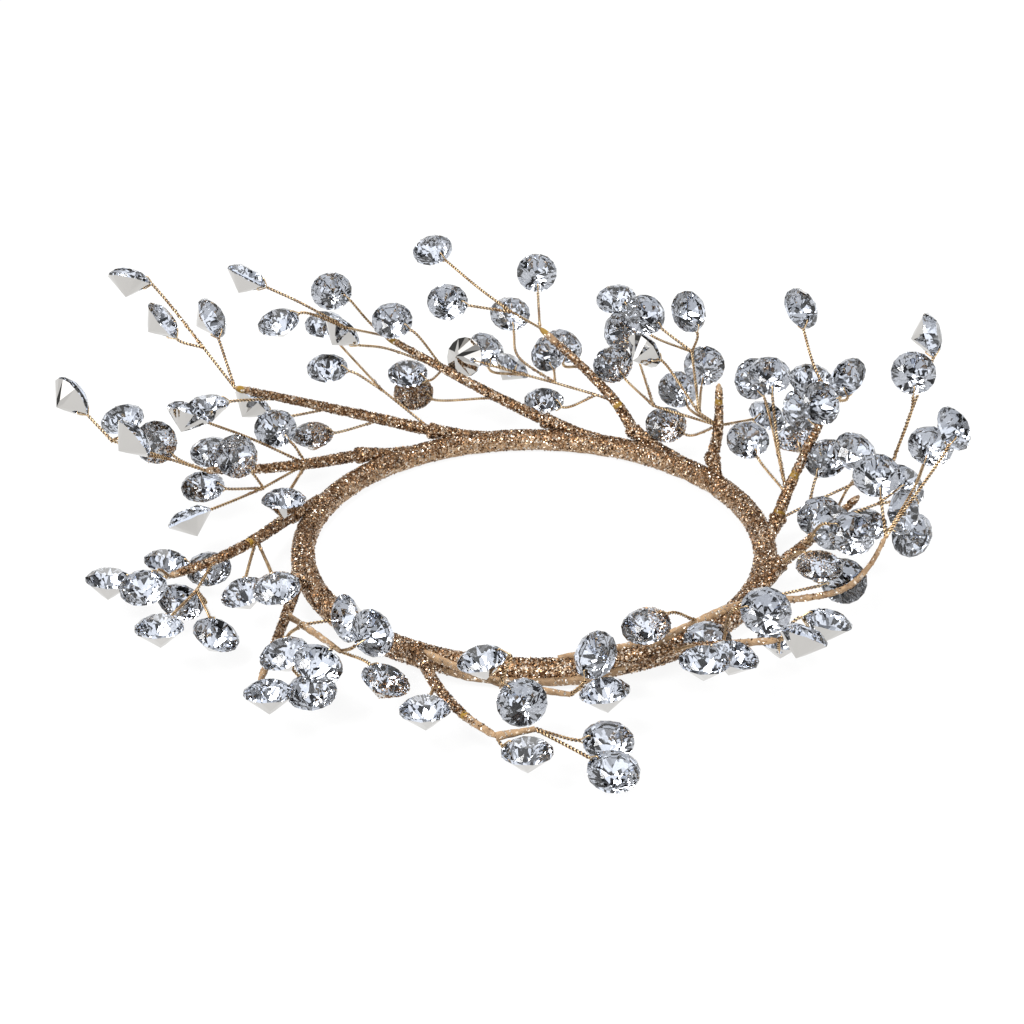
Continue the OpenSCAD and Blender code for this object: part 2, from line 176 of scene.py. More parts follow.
def arc_length(path):
    """Distance along the path from its start to each point."""
    return np.concatenate([[0], np.cumsum(np.linalg.norm(np.diff(path, axis=0), axis=1))])


print("a path of three points has", len(smooth_path([(0, 0, 0), (5, 0, 0), (9, 3, 0)], 0.5)), "points")


# %% Surfaces and meshes
def sweep(path, radius, sides, side=None):
    """A tube: point = path + radius (cos angle x first + sin angle x second), where the radius may
    change along and round. Each end closes on a pole. Returns points, quads and triangles."""
    way, first, second = path_frame(path, side)
    angle = np.linspace(0, TURN, sides, endpoint=False)
    r = np.broadcast_to(radius, (len(path), sides))[..., None]
    ring = path[:, None] + r * (np.cos(angle)[None, :, None] * first[:, None]
                                + np.sin(angle)[None, :, None] * second[:, None])
    i, j = np.meshgrid(np.arange(len(path) - 1), np.arange(sides), indexing="ij")
    k = (j + 1) % sides
    quads = np.stack([i * sides + j, i * sides + k, (i + 1) * sides + k, (i + 1) * sides + j], -1)
    points = np.vstack([ring.reshape(-1, 3), path[:1], path[-1:]])
    j = np.arange(sides)
    k = (j + 1) % sides
    last, pole = (len(path) - 1) * sides, len(path) * sides
    ends = np.vstack([np.stack([k, j, np.full(sides, pole)], 1),
                      np.stack([last + j, last + k, np.full(sides, pole + 1)], 1)])
    return points, quads.reshape(-1, 4), ends


def joined(parts):
    """Several surfaces as one: their arrays end to end, with the indices moved on."""
    shift = np.cumsum([0] + [len(p[0]) for p in parts])[:-1]
    quads = [q + s for (_, q, _), s in zip(parts, shift) if len(q)]
    ends = [t + s for (_, _, t), s in zip(parts, shift) if len(t)]
    return (np.vstack([p[0] for p in parts]), np.vstack(quads) if quads else np.zeros((0, 4), int),
            np.vstack(ends) if ends else np.zeros((0, 3), int))


def mesh_object(name, points, quads=(), triangles=(), smooth=True, values=None, materials=()):
    """Puts arrays (in millimetres) into a new mesh (in metres) with foreach_set. `values` are attributes
    with one number for each point."""
    quads = np.asarray(quads, np.int32).reshape(-1, 4)
    triangles = np.asarray(triangles, np.int32).reshape(-1, 3)
    corners = np.concatenate([quads.ravel(), triangles.ravel()])
    starts = np.concatenate([np.arange(len(quads)) * 4, len(quads) * 4 + np.arange(len(triangles)) * 3])
    mesh = bpy.data.meshes.new(name)
    mesh.vertices.add(len(points))
    mesh.vertices.foreach_set("co", (np.asarray(points) * MM).astype(np.float32).ravel())
    mesh.loops.add(len(corners))
    mesh.loops.foreach_set("vertex_index", corners.astype(np.int32))
    mesh.polygons.add(len(starts))
    mesh.polygons.foreach_set("loop_start", starts.astype(np.int32))
    mesh.polygons.foreach_set("use_smooth", np.full(len(starts), smooth))
    for key, value in (values or {}).items():
        mesh.attributes.new(key, "FLOAT", "POINT").data.foreach_set("value", np.asarray(value, np.float32))
    for m in materials:
        mesh.materials.append(m)
    mesh.update(calc_edges=True)
    mesh.validate()
    made = bpy.data.objects.new(name, mesh)
    bpy.context.scene.collection.objects.link(made)
    return made


print("a test tube has", len(sweep(smooth_path([(0, 0, 0), (5, 0, 0)], 0.5), 1.0, 8)[1]), "quads")

# %% [markdown]
# Glitter on this ring is coarse grit: bits about 0.7 mm across, glued on at every angle, so that a few
# flash white while their neighbours are dark brown. Paint alone can't give the rough outline, so each crumb
# is a real flattened octahedron of eight faces. Each one carries its own random tone, which the material
# reads.

# %% Crumbs of glitter
# Sizes of a crumb in millimetres: on the hoop and knuckles, on the stems, and where the glue ran on
HOOP_CRUMB, STEM_CRUMB, SPILT_CRUMB = 0.74, 0.72, 0.62
CRUMB_TILT, CRUMB_SHAPE = 0.55, [1, 0.8, 0.45]


def crumbs(at, normal, size, rng):
    """Octahedra: the centre plus and minus three half axes. Two lie near the surface and are about `size`
    long. The third is half as long and leans off the normal at random, by 38 degrees on average."""
    count = len(at)
    lean = unit(normal + CRUMB_TILT * rng.normal(size=(count, 3)))
    a = unit(across(rng.normal(size=(count, 3)), lean))
    b = np.cross(lean, a)
    half = size * rng.uniform(0.34, 0.62, (count, 3)) * CRUMB_SHAPE
    axes = np.stack([a * half[:, :1], b * half[:, 1:2], lean * half[:, 2:]], 1)
    points = at[:, None] + np.concatenate([axes, -axes], 1)
    one = np.array([(0, 1, 2), (1, 3, 2), (3, 4, 2), (4, 0, 2), (1, 0, 5), (3, 1, 5), (4, 3, 5), (0, 4, 5)])
    triangles = (np.arange(count)[:, None, None] * 6 + one).reshape(-1, 3)
    tone = np.repeat(rng.random(count), 6)
    return points.reshape(-1, 3), triangles, tone


def on_tube(path, radius, count, rng, side=None, keep=None):
    """Random places on a tube, as points and outward normals: path + radius x normal, at a random share
    along and angle round. `keep` gives the chance that a place at (share, angle) holds a crumb."""
    _, first, second = path_frame(path, side)
    u = rng.random(count)
    angle = rng.uniform(0, TURN, count)
    if keep is not None:
        stays = rng.random(count) < keep(u, angle)
        u, angle = u[stays], angle[stays]
    s = u * (len(path) - 1)
    k = np.minimum(s.astype(int), len(path) - 2)
    t = (s - k)[:, None]
    mid = path[k] * (1 - t) + path[k + 1] * t
    normal = unit(first[k] * np.cos(angle)[:, None] + second[k] * np.sin(angle)[:, None])
    r = np.broadcast_to(radius, len(path))
    r = r[k] * (1 - t[:, 0]) + r[k + 1] * t[:, 0]
    return mid + normal * r[:, None], normal


one_crumb = crumbs(np.zeros((1, 3)), np.array([[0, 0, 1.0]]), HOOP_CRUMB, np.random.default_rng(1))
print("one crumb has", len(one_crumb[1]), "faces")

# %% [markdown]
# Materials come before the pieces. One function turns the hex colours that a designer writes into linear
# light, and one adds a node with its settings and links.

# %% Helpers for materials
def linear(code):
    """sRGB hex to linear: (value / 12.92) when small, else ((value + 0.055) / 1.055) to the power 2.4."""
    v = np.array([int(code[i:i + 2], 16) for i in (1, 3, 5)]) / 255
    v = np.where(v <= 0.04045, v / 12.92, ((v + 0.055) / 1.055) ** 2.4)
    return (*v.tolist(), 1.0)


def add(tree, kind, settings=None, **links):
    """Adds a node: `settings` are its own properties or its sockets' values, and each link names the output
    that feeds a socket. A socket goes by its name, with spaces as underscores, or by i and its number."""
    made = tree.nodes.new(kind)
    for key, value in (settings or {}).items():
        if isinstance(key, int) or key in made.inputs:
            made.inputs[key].default_value = value
        else:
            setattr(made, key, value)
    for key, value in links.items():
        numbered = key[0] == "i" and key[1:].isdigit()
        tree.links.new(value, made.inputs[int(key[1:]) if numbered else key.replace("_", " ")])
    return made


def new_material(name):
    """An empty material, its node tree and its output node."""
    m = bpy.data.materials.new(name)
    m.use_nodes = True
    m.node_tree.nodes.clear()
    return m, m.node_tree, m.node_tree.nodes.new("ShaderNodeOutputMaterial")


def ramp(tree, factor, stops):
    """A colour ramp through (position, hex) stops."""
    made = add(tree, "ShaderNodeValToRGB", i0=factor)
    for i, (at, code) in enumerate(stops):
        stop = made.color_ramp.elements[i] if i < 2 else made.color_ramp.elements.new(at)
        stop.position, stop.color = at, linear(code)
    return made.outputs["Color"]


print("mid grey in linear light is", round(linear("#808080")[0], 3))

# %% [markdown]
# Champagne glitter is aluminised plastic film, tinted gold. Each crumb is a small mirror, so the metal is
# full and the roughness low. The tape between the crumbs is brown with finer specks: cells of 0.45 mm, each
# leaning its own way, which is what makes glitter flash when it or the light moves.

# %% Glitter and tape
SPECK = 0.45 * MM
# Colours of the glitter, from the darkest bit to one that flashes
GRIT_STOPS = [(0.0, "#2C1F15"), (0.35, "#6F5036"), (0.65, "#A68361"), (0.87, "#DFCAB0"), (1.0, "#FFF9F0")]


def flake_material():
    """Loose glitter crumbs. Each takes its colour from GRIT_STOPS at its own random tone."""
    m, tree, out = new_material("champagne_glitter_film")
    tone = add(tree, "ShaderNodeAttribute", {"attribute_name": "tone"}).outputs["Fac"]
    shader = add(tree, "ShaderNodeBsdfPrincipled", {"Metallic": 1.0, "Roughness": 0.28},
                 Base_Color=ramp(tree, tone, GRIT_STOPS))
    tree.links.new(shader.outputs[0], out.inputs[0])
    return m


def glittered_tape():
    """Brown paper tape under fine glitter: a speck's normal is the surface's plus a random lean. The
    attribute "bare" is the share of specks that are missing, and "gold" is 1 where lacquer shows instead."""
    m, tree, out = new_material("glittered_paper_tape")
    place = add(tree, "ShaderNodeTexCoord").outputs["Object"]
    cells = add(tree, "ShaderNodeTexVoronoi", {"Scale": 1 / SPECK}, Vector=place)
    lean = add(tree, "ShaderNodeVectorMath", {"operation": "SUBTRACT", 1: (0.5, 0.5, 0.5)},
               i0=cells.outputs["Color"])
    lean = add(tree, "ShaderNodeVectorMath", {"operation": "SCALE", "Scale": 1.1}, i0=lean.outputs[0])
    facing = add(tree, "ShaderNodeNewGeometry").outputs["Normal"]
    lean = add(tree, "ShaderNodeVectorMath", {"operation": "ADD"}, i0=lean.outputs[0], i1=facing)
    lean = add(tree, "ShaderNodeVectorMath", {"operation": "NORMALIZE"}, i0=lean.outputs[0])
    bare = add(tree, "ShaderNodeAttribute", {"attribute_name": "bare"}).outputs["Fac"]
    speck = add(tree, "ShaderNodeSeparateColor", i0=cells.outputs["Color"]).outputs["Green"]
    grit = ramp(tree, speck, GRIT_STOPS)
    # Paper is mottled every millimetre or two
    soft = add(tree, "ShaderNodeTexNoise", {"Scale": 1 / (1.6 * MM), "Detail": 4.0},
               Vector=place).outputs["Fac"]
    paper = ramp(tree, soft, [(0.25, "#6F563E"), (0.75, "#A88A67")])
    spot = add(tree, "ShaderNodeAttribute", {"attribute_name": "gold"}).outputs["Fac"]
    lacquer = {"data_type": "RGBA", 7: linear("#86671F")}
    paper = add(tree, "ShaderNodeMix", lacquer, i0=spot, i6=paper).outputs["Result"]
    # A speck is missing where its own random number is under the share that is bare
    share = add(tree, "ShaderNodeMath", {"operation": "LESS_THAN"}, i0=speck, i1=bare).outputs[0]
    colour = add(tree, "ShaderNodeMix", {"data_type": "RGBA"}, i0=share, i6=grit, i7=paper).outputs["Result"]
    metal = add(tree, "ShaderNodeMapRange", {"To Min": 0.9, "To Max": 0.0}, Value=share).outputs[0]
    rough = add(tree, "ShaderNodeMapRange", {"To Min": 0.32, "To Max": 0.62}, Value=share).outputs[0]
    normal = add(tree, "ShaderNodeMix", {"data_type": "VECTOR"}, i0=share, i4=lean.outputs[0], i5=facing)
    bump = add(tree, "ShaderNodeBump", {"Strength": 0.5, "Distance": 0.15 * MM}, Height=soft,
               Normal=normal.outputs["Result"])
    shader = add(tree, "ShaderNodeBsdfPrincipled", Base_Color=colour, Metallic=metal, Roughness=rough,
                 Normal=bump.outputs[0])
    tree.links.new(shader.outputs[0], out.inputs[0])
    return m


flakes, tape = flake_material(), glittered_tape()
print("materials", flakes.name, tape.name)

# %% [markdown]
# The wires are copper-coated steel, drawn and then twisted, so they shine along each strand but are not
# polished. The core inside the hoop is plain drawn steel, which no one sees.

# %% Drawn wires
def drawn_wire(name, light, dark, rough):
    """A metal whose tone drifts a little every few millimetres, with fine marks of the die. Painted shade
    darkens the side of each strand that faces the other strand, by the amount that a point attribute gives."""
    m, tree, out = new_material(name)
    place = add(tree, "ShaderNodeTexCoord").outputs["Object"]
    drift = add(tree, "ShaderNodeTexNoise", {"Scale": 1 / (3 * MM), "Detail": 3.0},
                Vector=place).outputs["Fac"]
    marks = add(tree, "ShaderNodeTexNoise", {"Scale": 1 / (0.3 * MM), "Detail": 2.0},
                Vector=place).outputs["Fac"]
    bump = add(tree, "ShaderNodeBump", {"Strength": 0.3, "Distance": 0.03 * MM}, Height=marks)
    # Painted shade between the strands: where a strand faces the other one, the tone drops, down to the
    # darkest stop
    painted_strand_shade = add(tree, "ShaderNodeAttribute", {"attribute_name": "painted_strand_shade"}).outputs["Fac"]
    tone = add(tree, "ShaderNodeMath", {"operation": "SUBTRACT"}, i0=drift, i1=painted_strand_shade).outputs[0]
    shader = add(tree, "ShaderNodeBsdfPrincipled", {"Metallic": 1.0, "Roughness": rough},
                 Normal=bump.outputs[0],
                 Base_Color=ramp(tree, tone, [(0.0, "#604830"), (0.3, dark), (0.55, light)]))
    tree.links.new(shader.outputs[0], out.inputs[0])
    return m


copper = drawn_wire("drawn_copper_gold_wire", "#DFC49B", "#9A7A56", 0.3)
steel = drawn_wire("drawn_steel_wire", "#A8A49C", "#7C776E", 0.4)
print("materials", copper.name, steel.name)

# %% [markdown]
# The stones are moulded acrylic with a refractive index of 1.49, tinted slightly blue-grey. Their back is
# coated with bright metal, as a mirror is. Light goes in through the crown, strikes the coated facets from
# inside and comes back out somewhere else, which gives the burst of light and dark wedges. So the crown is
# a clear shader, and the back is metal, on one closed stone.

# %% Stones
def crown_acrylic():
    """Clear polished acrylic, faintly blue-grey."""
    m, tree, out = new_material("clear_cut_acrylic")
    shader = add(tree, "ShaderNodeBsdfPrincipled",
                 {"Base Color": linear("#E0E9FA"), "Transmission Weight": 1.0, "IOR": 1.49, "Roughness": 0.0})
    tree.links.new(shader.outputs[0], out.inputs[0])
    return m


def mirror_back():
    """Bright metal, with a trace of haze every 2 mm where the coating is thin."""
    m, tree, out = new_material("silvered_stone_back")
    place = add(tree, "ShaderNodeTexCoord").outputs["Object"]
    haze = add(tree, "ShaderNodeTexNoise", {"Scale": 1 / (2 * MM), "Detail": 3.0},
               Vector=place).outputs["Fac"]
    rough = add(tree, "ShaderNodeMapRange",
                {"From Min": 0.35, "From Max": 0.7, "To Min": 0.0, "To Max": 0.03}, Value=haze).outputs[0]
    shader = add(tree, "ShaderNodeBsdfPrincipled", {"Metallic": 1.0, "Base Color": linear("#C5C3C0")},
                 Roughness=rough)
    tree.links.new(shader.outputs[0], out.inputs[0])
    return m


crown, back = crown_acrylic(), mirror_back()
print("materials", crown.name, back.name)

# %% [markdown]
# The hoop first. The tape winds on in turns of about 6 mm that leave low ridges, and the glitter sits thick
# on top and outside. Towards the inside and below it thins out, and the brown tape shows. The ridges are
# real: the tube's radius rises by a tenth of a millimetre along each turn and drops at its edge.

# %% The hoop's tape
def world_of(place):
    """Centre of the hoop's section at that angle, and the directions along the hoop, outward and up."""
    a = np.radians(place)
    out = np.array([np.cos(a), np.sin(a), 0])
    return out * HOOP_R + [0, 0, HOOP_Z], np.array([[-out[1], out[0], 0], out, [0, 0, 1.0]])


def to_world(place, points):
    """Points given along, outward and up become points in the object's frame."""
    centre, axes = world_of(place)
    return centre + np.atleast_2d(np.asarray(points, float)) @ axes


def ripple(a, b, rng, waves=5, low=2, high=9):
    """A smooth random value, mostly between -1 and 1: a sum of sines of whole counts round both angles."""
    total = np.zeros(np.broadcast(a, b).shape)
    for m, n, phase in zip(rng.integers(low, high, waves), rng.integers(-2, 3, waves),
                           rng.uniform(0, 6.28, waves)):
        total = total + np.sin(m * a + n * b + phase)
    return total / np.sqrt(waves)


RINGS, SIDES, WINDS = 900, 36, 62
RIDGE, LUMP = 0.12, 0.07
rng = np.random.default_rng(11)
around = np.linspace(0, TURN, RINGS, endpoint=False)[:, None]
section = np.linspace(0, TURN, SIDES, endpoint=False)[None, :]
ridge = RIDGE * ((section / TURN + WINDS * around / TURN) % 1.0)
lump = LUMP * ripple(around, section, rng, 9, 8, 60)
r = HOOP_D / 2 - RIDGE + ridge + lump
x = HOOP_R + np.clip(r * np.cos(section), -HOOP_D / 2 + WALL_FLAT, None)
z = HOOP_Z + np.clip(r * np.sin(section), -HOOP_Z, None)
hoop_points = np.stack([x * np.cos(around), x * np.sin(around), z], -1).reshape(-1, 3)
i, j = np.meshgrid(np.arange(RINGS), np.arange(SIDES), indexing="ij")
i2, j2 = (i + 1) % RINGS, (j + 1) % SIDES
hoop_quads = np.stack([i * SIDES + j, i2 * SIDES + j, i2 * SIDES + j2, i * SIDES + j2], -1)
# The angle round the hoop's section, in degrees, where the glitter missed most: inside and a little below
MISSED = 215


def bareness(angle, drift=0.0):
    """How bare the hoop is at an angle round its section, 0 outside and 90 on top: 0.45 up to 38 degrees
    from MISSED, then falling evenly to none at 70. A drift of 1 moves both limits out by 14 degrees."""
    away = np.abs((np.degrees(angle) - MISSED + 180) % 360 - 180)
    return 0.45 * np.clip((70 + 14 * drift - away) / 32, 0, 1)


bare = bareness(section, ripple(around, section, rng, 7, 5, 30))
hoop = mesh_object("hoop_tape", hoop_points, hoop_quads, values={"bare": bare.ravel()}, materials=[tape])
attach(hoop, "ring"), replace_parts(hoop, "hoop_wrap"), hoop
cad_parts["hoop_wire"].data.materials.clear()
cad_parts["hoop_wire"].data.materials.append(steel)
print("hoop_tape quads", RINGS * SIDES)

# %% The hoop's glitter
# Crumbs to try, and the height in millimetres under which the hoop is pressed flat and holds none
COUNT, FLAT = 19500, 0.45
a = rng.uniform(0, TURN, COUNT)
b = rng.uniform(0, TURN, COUNT)
stays = rng.random(COUNT) > 1.5 * bareness(b, 0.6 * rng.normal(size=COUNT))
a, b = a[stays], b[stays]
outward = np.stack([np.cos(a), np.sin(a), np.zeros(len(a))], 1)
normal = outward * np.cos(b)[:, None] + np.array([0, 0, 1.0]) * np.sin(b)[:, None]
at = outward * HOOP_R + [0, 0, HOOP_Z] + normal * (HOOP_D / 2 - 0.05)
low = at[:, 2] < FLAT
at, normal = at[~low], normal[~low]
points, triangles, tone = crumbs(at, normal, HOOP_CRUMB, rng)
hoop_grit = mesh_object("hoop_glitter", points, (), triangles, False, {"tone": tone}, [flakes])
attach(hoop_grit, "ring"), hoop_grit
print("hoop_glitter crumbs", len(at))

# %% [markdown]
# A stem is a bundle of wires under tape, so it tapers as wires leave it, and it wanders. Its root lies
# along the hoop for a finger's width before it turns off, and the tape makes a knuckle there. The knuckle
# and that tail stay on the hoop, and the stem turns in them, so they are two pieces: one rides on the ring,
# one on the sprig.

# %% Stems and knuckles
def stem_line(sprig):
    """The stem's points from its root on. Tape rounds a bend off, so each inner point moves half of the way
    to the middle between its neighbours, twice over."""
    p = np.array([(0, ROOT_AT, ROOT_AT)] + sprig[1], float)
    for _ in range(2):
        p[1:-1] = (p[:-2] + 2 * p[1:-1] + p[2:]) / 4
    return [tuple(q) for q in p]


def stem_radius(share):
    """The stem's radius falls evenly from root to tip."""
    return (STEM_ROOT_D + (STEM_TIP_D - STEM_ROOT_D) * share) / 2


def rough_tube(path, radius, sides, rng, side=None):
    """A swept tube: radius x (1 + 0.06 x a random ripple along and round)."""
    s = arc_length(path)[:, None] / 6.0
    angle = np.linspace(0, TURN, sides, endpoint=False)[None, :]
    r = np.broadcast_to(radius, len(path))[:, None] * (1 + 0.06 * ripple(s * 3, angle, rng, 7, 1, 6))
    return sweep(path, r, sides, side)


# How slim a stem is, and from which share of its length the glitter has worn off
UNWORN = (1.0, 0.93)
WORN = {"07": (0.58, 0.12), "09": (0.85, 0.72), "10": (0.85, 0.78), "08": (0.9, 0.7), "03": (1.0, 0.86),
        "04": (1.0, 0.9), "06": (0.9, 0.97)}
# Where a chip in the glitter shows the gold lacquer of the wire, as shares of a stem's length
CHIPPED = {"01": (0.98,), "02": (0.96,), "03": (0.3, 0.97), "04": (0.8,), "05": (0.12, 0.5), "09": (0.7,),
           "11": (0.4,), "12": (0.7,)}
# Sides of a stem, crumbs for each millimetre of it, and the length at its root that the knuckle covers
STEM_SIDES, STEM_CRUMBS, COVERED = 14, 30, 2.8


def dress_stem(key, sprig, rng):
    """The stem's tube and its crumbs. Gold shows round each chip: e to the power -(distance / 0.9 mm)
    squared."""
    place = sprig[0]
    slim, worn = WORN.get(key, UNWORN)
    path = smooth_path(to_world(place, stem_line(sprig)), 0.5)
    share = np.linspace(0, 1, len(path))
    r = stem_radius(share) * slim
    r[-4:] *= [0.95, 0.85, 0.65, 0.35]
    points, quads, ends = rough_tube(path, r, STEM_SIDES, rng)
    length = arc_length(path)[-1]
    end_bare = 0.9 * np.clip((share - worn) / 0.05, 0, 1)
    chips = (np.exp(-((share - s) * length / 0.9) ** 2) for s in CHIPPED.get(key, ()))
    gold = sum(chips, np.zeros(len(path)))
    bare = np.append(np.repeat(np.maximum(end_bare, 0.95 * (gold > 0.4)), STEM_SIDES), [0, 1])
    chipped = np.append(np.repeat(gold > 0.3, STEM_SIDES), [0, 0])
    stem = mesh_object(f"stem_tape_{key}", points, quads, ends, materials=[tape],
                       values={"bare": bare, "gold": chipped})

    def keep(u, angle):
        held = (1.05 - 0.35 * u) * np.where(u < worn, 1, 0.12) * (u < 0.97) * (u * length > COVERED)
        return held * (1 - 0.95 * np.interp(u, share, gold))

    at, normal = on_tube(path, r * 1.02, int(length * STEM_CRUMBS), rng, keep=keep)
    points, triangles, tone = crumbs(at, normal, STEM_CRUMB, rng)
    grit = mesh_object(f"stem_glitter_{key}", points, (), triangles, False, {"tone": tone}, [flakes])
    for piece in (stem, grit):
        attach(piece, f"sprig_{key}"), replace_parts(piece, f"stem_{key}"), piece
    return length


# Points of a knuckle's tail along, outward and up, and its radius at shares of its length
TAIL = [(-15, 0.6, 1.4), (-9, 1.5, 2.0), (-4, 3.0, 3.1)]
KNUCKLE_AT, KNUCKLE_R = [0, 0.2, 0.6, 0.8, 0.92, 1], [0.7, 1.3, 1.8, 2.25, 2.15, 1.2]
KNUCKLE_SIDES, KNUCKLE_CRUMBS = 18, 40


def dress_knuckle(key, sprig, rng):
    """A tail that rises out of the hoop against the swirl, and swells round the root of the stem. Where the
    stem stands up steeply, the tail is half as long."""
    root = np.array([0, ROOT_AT, ROOT_AT])
    first = np.array(stem_line(sprig)[1]) - root
    back = 0.5 if first[2] > 1.5 * abs(first[0]) else 1.0
    tail = [(along * back, out, up) for along, out, up in TAIL]
    path = smooth_path(to_world(sprig[0], tail + [tuple(root), root + 1.6 * unit(first)]), 0.5)
    r = np.interp(np.linspace(0, 1, len(path)), KNUCKLE_AT, KNUCKLE_R)
    points, quads, ends = rough_tube(path, r, KNUCKLE_SIDES, rng)
    knuckle = mesh_object(f"knuckle_tape_{key}", points, quads, ends,
                          values={"bare": np.zeros(len(points))}, materials=[tape])
    at, normal = on_tube(path, r, int(arc_length(path)[-1] * KNUCKLE_CRUMBS), rng)
    points, triangles, tone = crumbs(at, normal, HOOP_CRUMB, rng)
    grit = mesh_object(f"knuckle_glitter_{key}", points, (), triangles, False, {"tone": tone}, [flakes])
    for piece in (knuckle, grit):
        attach(piece, "ring"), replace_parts(piece, f"binding_{key}"), piece


for key, sprig in SPRIGS.items():
    rng = np.random.default_rng(100 + int(key))
    length = dress_stem(key, sprig, rng)
    dress_knuckle(key, sprig, rng)
    print(f"stem {key} is {length:.0f} mm long")

# %% [markdown]
# Two sprigs at the front have long roots that lie along the hoop, wrapped in plain tape over the glitter.
# Each is a tube whose path goes round the hoop and, near its end, round the hoop's section too, up to its
# knuckle.

# %% Long roots along the hoop
# The share of specks that are missing on plain tape
BARE_ROOT = 0.85
# Sprig: where its root starts and ends round the hoop, and its angles round the hoop's section there
ROOTS = {"07": (275, 325, 112, 58), "08": (250, 291, -16, 38)}
for key, (start, end, side, side_end) in ROOTS.items():
    t = np.linspace(0, 1, 120)
    a = np.radians(start + (end - start) * t)
    b = np.radians(side + (side_end - side) * np.clip((t - 0.7) / 0.3, 0, 1) ** 2)
    r = HOOP_D / 2 + 0.5 - 0.8 * np.clip(1 - t / 0.12, 0, 1)
    out = np.stack([np.cos(a), np.sin(a), 0 * a], 1)
    path = out * (HOOP_R + r * np.cos(b))[:, None] + np.array([0, 0, 1.0]) * (HOOP_Z + r * np.sin(b))[:, None]
    points, quads, ends = rough_tube(path, 0.85 + 0.35 * t, 12, np.random.default_rng(int(key)))
    root = mesh_object(f"root_tape_{key}", points, quads, ends, materials=[tape],
                       values={"bare": np.full(len(points), BARE_ROOT), "gold": np.zeros(len(points))})
    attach(root, "ring"), root
print("long roots", len(ROOTS))

# %% [markdown]
# Each thin wire is two strands twisted together, one turn every 1.8 mm. A strand's middle circles the path
# at a quarter of a millimetre, so the two strands are the same tube with the circle started half a turn
# apart. At the gem the strands part into a V, which goes through the hole and closes again outside the rim.

# %% Twisted wires
STRAND_R, TWIST_R, TWIST = 0.2, 0.26, 1.8


def twisted(path):
    """Two strands: path + twist radius (cos phase x first + sin phase x second), phase = distance / TWIST in
    turns, and the second strand half a turn on. The painted shade between the strands is 1 on the side that
    faces the other strand."""
    _, first, second = path_frame(path)
    phase = TURN * arc_length(path)[:, None] / TWIST
    strands = []
    for half in (0, TURN / 2):
        out = np.cos(phase + half) * first + np.sin(phase + half) * second
        points, quads, ends = sweep(path + TWIST_R * out, STRAND_R, 6)
        ring = points[:-2].reshape(len(path), 6, 3) - (path + TWIST_R * out)[:, None]
        # Painted shade: 1 where the strand faces the other strand, 0.6 at its flanks, none on its outer side
        painted_strand_shade = np.clip(0.6 - np.sum(ring * out[:, None], axis=2) / STRAND_R, 0, 1)
        strands.append(((points, quads, ends), np.append(painted_strand_shade.ravel(), [0, 0])))
    return strands


def gem_frame(sprig, gem):
    """Centre, direction to the hole, the third direction and the table's normal, in the object's frame."""
    place, points = sprig[0], stem_line(sprig) + [f[1] for f in sprig[2]]
    heading, rise = np.radians(gem[2])
    centre = to_world(place, gem[1])[0]
    last = to_world(place, gem[3] if len(gem) > 3 else points[gem[0]])[0]
    n = np.array([np.cos(rise) * np.cos(heading), np.cos(rise) * np.sin(heading), np.sin(rise)])
    n = n @ world_of(place)[1]
    x = unit(across(last - centre, n))
    return centre, x, np.cross(n, x), n


def pulled(a, b, c, d, step=0.3):
    """The cubic that leaves a towards b and comes into d from c: weights (1 - t)^3, 3 t (1 - t)^2,
    3 t^2 (1 - t) and t^3."""
    t = np.linspace(0, 1, max(4, int(np.linalg.norm(d - a) / step) + 1))[:, None]
    return (1 - t) ** 3 * a + 3 * t * (1 - t) ** 2 * b + 3 * t**2 * (1 - t) * c + t**3 * d


def wire_route(sprig, gem):
    """From the middle of the stem or fork, by the bend if there is one, to just outside the rim, where the
    wire comes in square to the rim."""
    place, points = sprig[0], stem_line(sprig) + [f[1] for f in sprig[2]]
    centre, x, _, _ = gem_frame(sprig, gem)
    start = to_world(place, points[gem[0]])[0]
    tip = centre + x * (GEM_D / 2 + 0.35)
    if len(gem) > 3:
        return smooth_path([start, to_world(place, gem[3])[0], tip], 0.3)
    reach = np.linalg.norm(tip - start)
    return pulled(start, start + (tip - start) * 0.35, tip + x * min(3.0, 0.25 * reach), tip)


def hole_loop(sprig, gem):
    """The V of the wire: over the crown, down the hole and back under the stone to the twist."""
    centre, x, y, n = gem_frame(sprig, gem)
    rim, hole = GEM_D / 2, GEM_D / 2 - HOLE_IN
    up, down = CROWN_H * 2 / (GEM_D - TABLE_D), POINT_H / rim
    top, low = ([(rim + 0.2, 0.4), (rim - 0.35, GIRDLE_T / 2 + 0.35 * slope + 0.25),
                 (hole + 0.4, GIRDLE_T / 2 + (HOLE_IN - 0.4) * slope + 0.25), (hole, 0.8)]
                for slope in (up, down))
    flat = [(rim + 0.45, 0)] + top + [(u, -v) for u, v in low[::-1]] + [(rim + 0.45, 0)]
    loop = sweep(smooth_path([centre + x * u + n * v for u, v in flat], 0.35), STRAND_R * 0.9, 5, y)
    # The loop gets no painted shade
    return loop, np.zeros(len(loop[0]))


# Sprigs whose forks are taped like the stem, and about the radius of these forks in millimetres
TAPED = {"08": 0.8, "09": 1.0, "10": 0.9}


